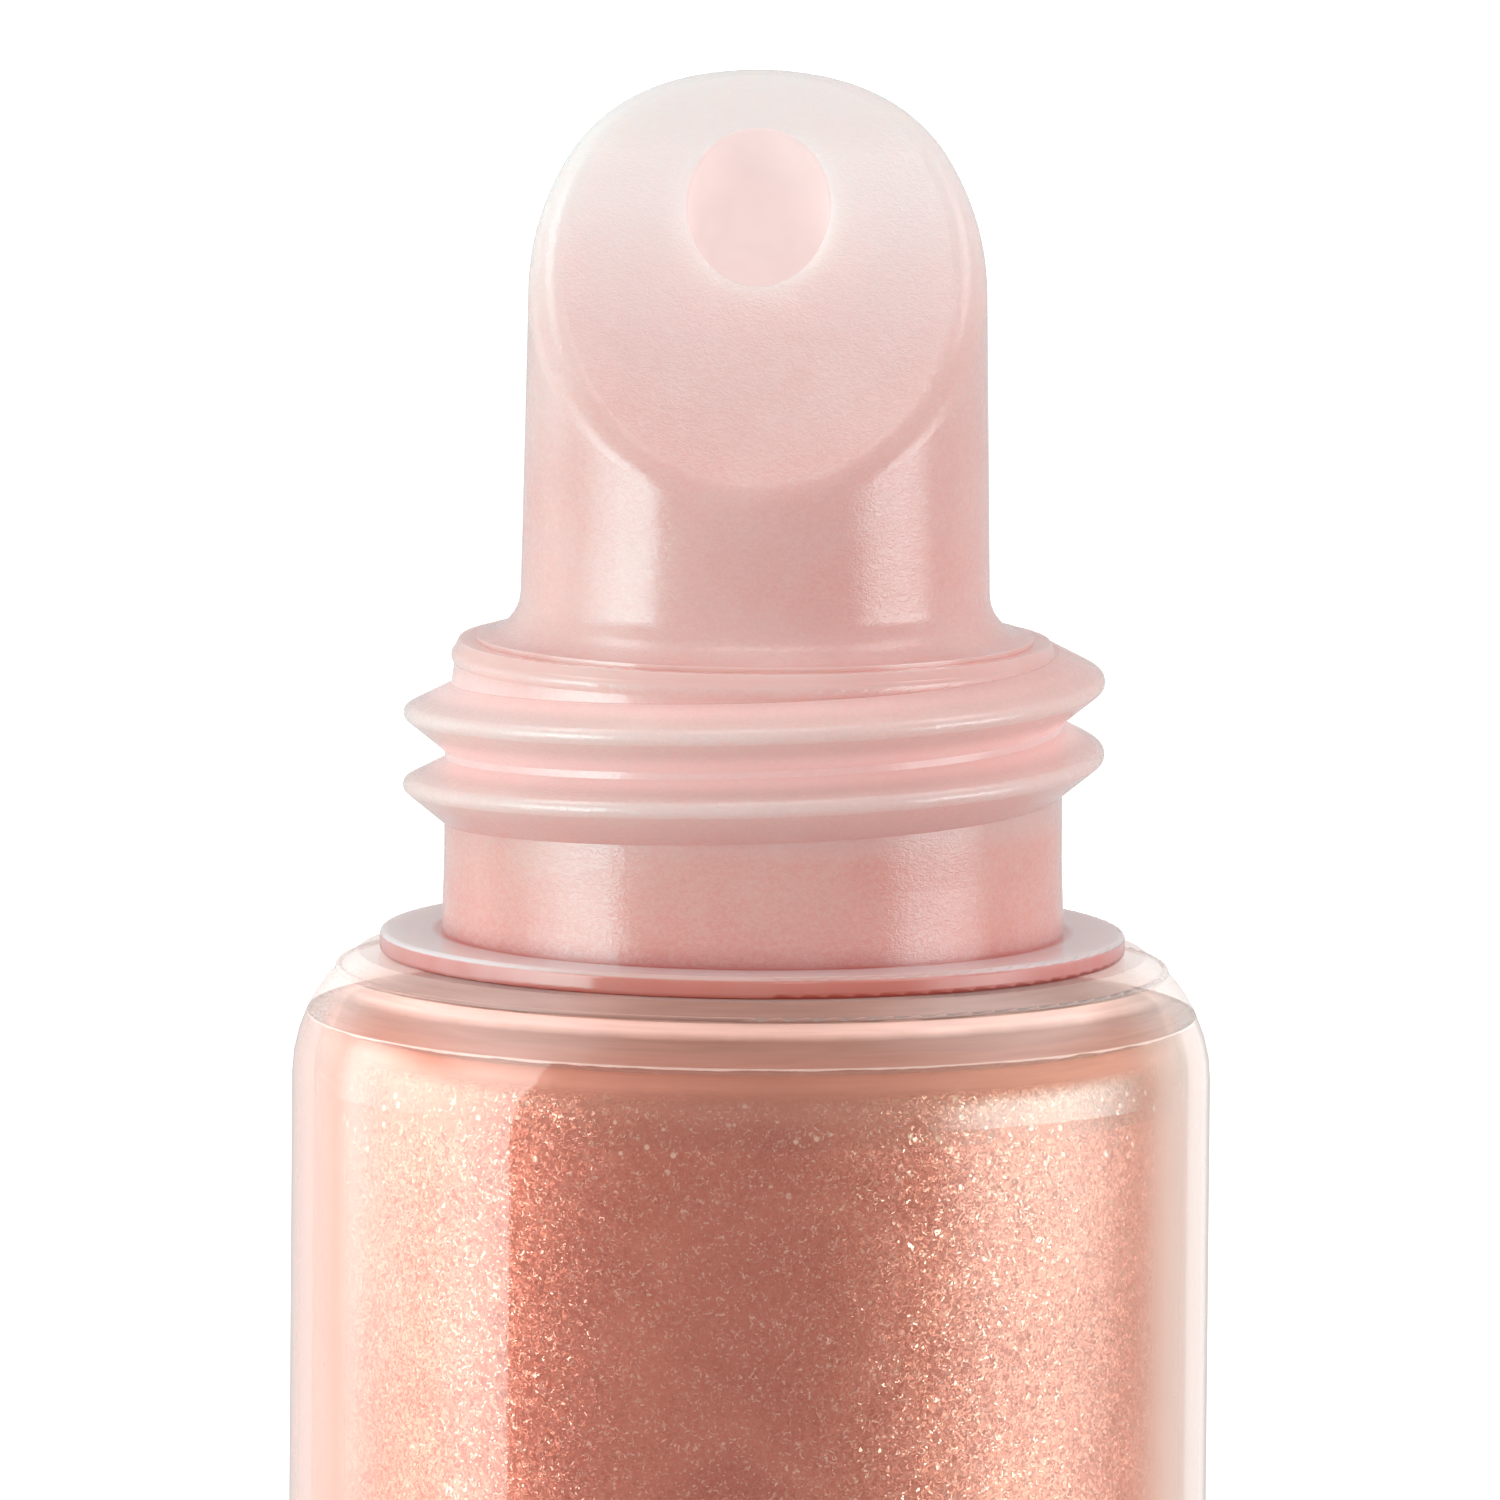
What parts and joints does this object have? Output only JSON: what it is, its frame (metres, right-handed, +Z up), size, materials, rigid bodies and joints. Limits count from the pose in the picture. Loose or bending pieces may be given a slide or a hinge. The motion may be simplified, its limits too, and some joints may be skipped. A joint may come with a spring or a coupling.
{
  "type": "lip gloss tube",
  "caption": "Squeeze tube of lip gloss without its cap: flat-sealed clear sleeve, rounded clear shoulder, threaded neck and slanted applicator tip.",
  "frame": {"origin": "middle of the sealed bottom edge, on the surface the tube stands on", "axes": "+Z up the tube to the tip, the flat seal runs along X, the slanted face of the tip looks towards -Y"},
  "size_m": [0.0298, 0.019, 0.0985],
  "materials": {
    "sleeve": "soft clear plastic",
    "shoulder": "clear plastic with a peach cast",
    "applicator": "translucent pink plastic, finely textured",
    "gloss": "copper rose gloss with fine shimmer"
  },
  "bodies": {
    "root": {"sleeve": "sleeve", "shoulder": "shoulder", "applicator": "applicator", "gloss": "gloss"}
  },
  "joints": []
}
